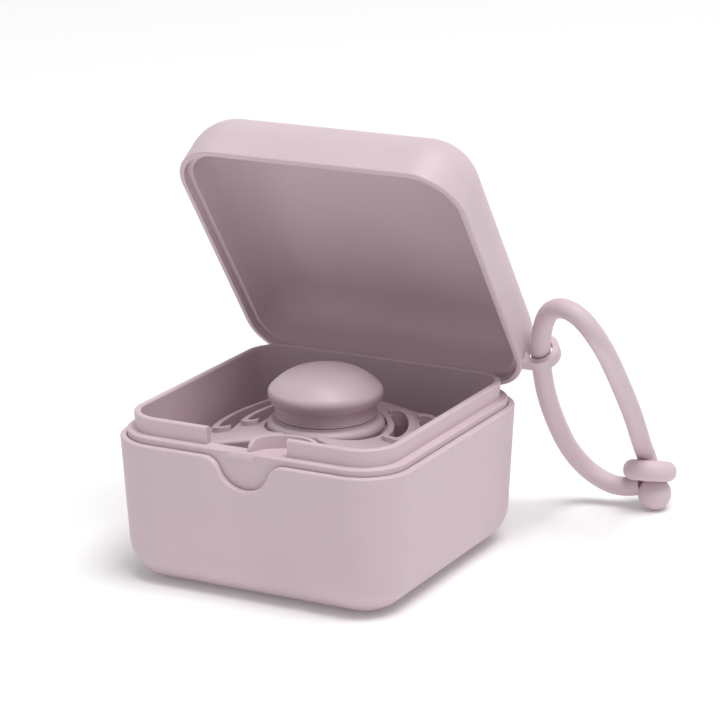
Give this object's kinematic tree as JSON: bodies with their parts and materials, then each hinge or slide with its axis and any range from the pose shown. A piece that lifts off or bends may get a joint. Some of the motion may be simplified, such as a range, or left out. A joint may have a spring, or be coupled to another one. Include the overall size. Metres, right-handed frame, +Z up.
{
  "type": "pacifier box",
  "caption": "Small rounded square plastic box with a hinged lid standing open, a pacifier inside and a round strap with a ball lock.",
  "frame": {"origin": "centre of the flat bottom of the box", "axes": "+Z up, -Y the front with the thumb scallop, +Y the hinge side, +X the side with the strap"},
  "size_m": [0.0872, 0.095, 0.0887],
  "materials": {
    "box_plastic": "matte",
    "strap_silicone": "matte",
    "pacifier_plastic": "satin",
    "teat_rubber": "satin",
    "pin_steel": "brushed"
  },
  "bodies": {
    "base": {"outer_shell": "box_plastic", "inner_liner": "box_plastic", "hinge_pin": "pin_steel"},
    "lid": {"lid_shell": "box_plastic", "lid_lining": "box_plastic"},
    "strap": {"strap_cord": "strap_silicone", "strap_eyelet": "strap_silicone", "strap_ball": "strap_silicone"},
    "pacifier": {"pacifier_shield": "pacifier_plastic", "pacifier_collar": "pacifier_plastic", "pacifier_cap": "pacifier_plastic", "pacifier_teat": "teat_rubber"}
  },
  "joints": [
    {"name": "lid_hinge", "type": "hinge", "parent": "base", "child": "lid", "pos_m": [0, 0.0332, 0.0302], "axis": [-1, 0, 0], "range_deg": [-55.07, 35]},
    {"name": "strap_swing", "type": "hinge", "parent": "lid", "child": "strap", "pos_m": [0.03483, 0.03155, 0.03973], "axis": [-0.2336, 0.5672, -0.7897], "range_deg": [-90, 0]},
    {"name": "pacifier_lift", "type": "slide", "parent": "base", "child": "pacifier", "axis": [0, -0.45, 0.893], "range_m": [0, 0.06]}
  ]
}
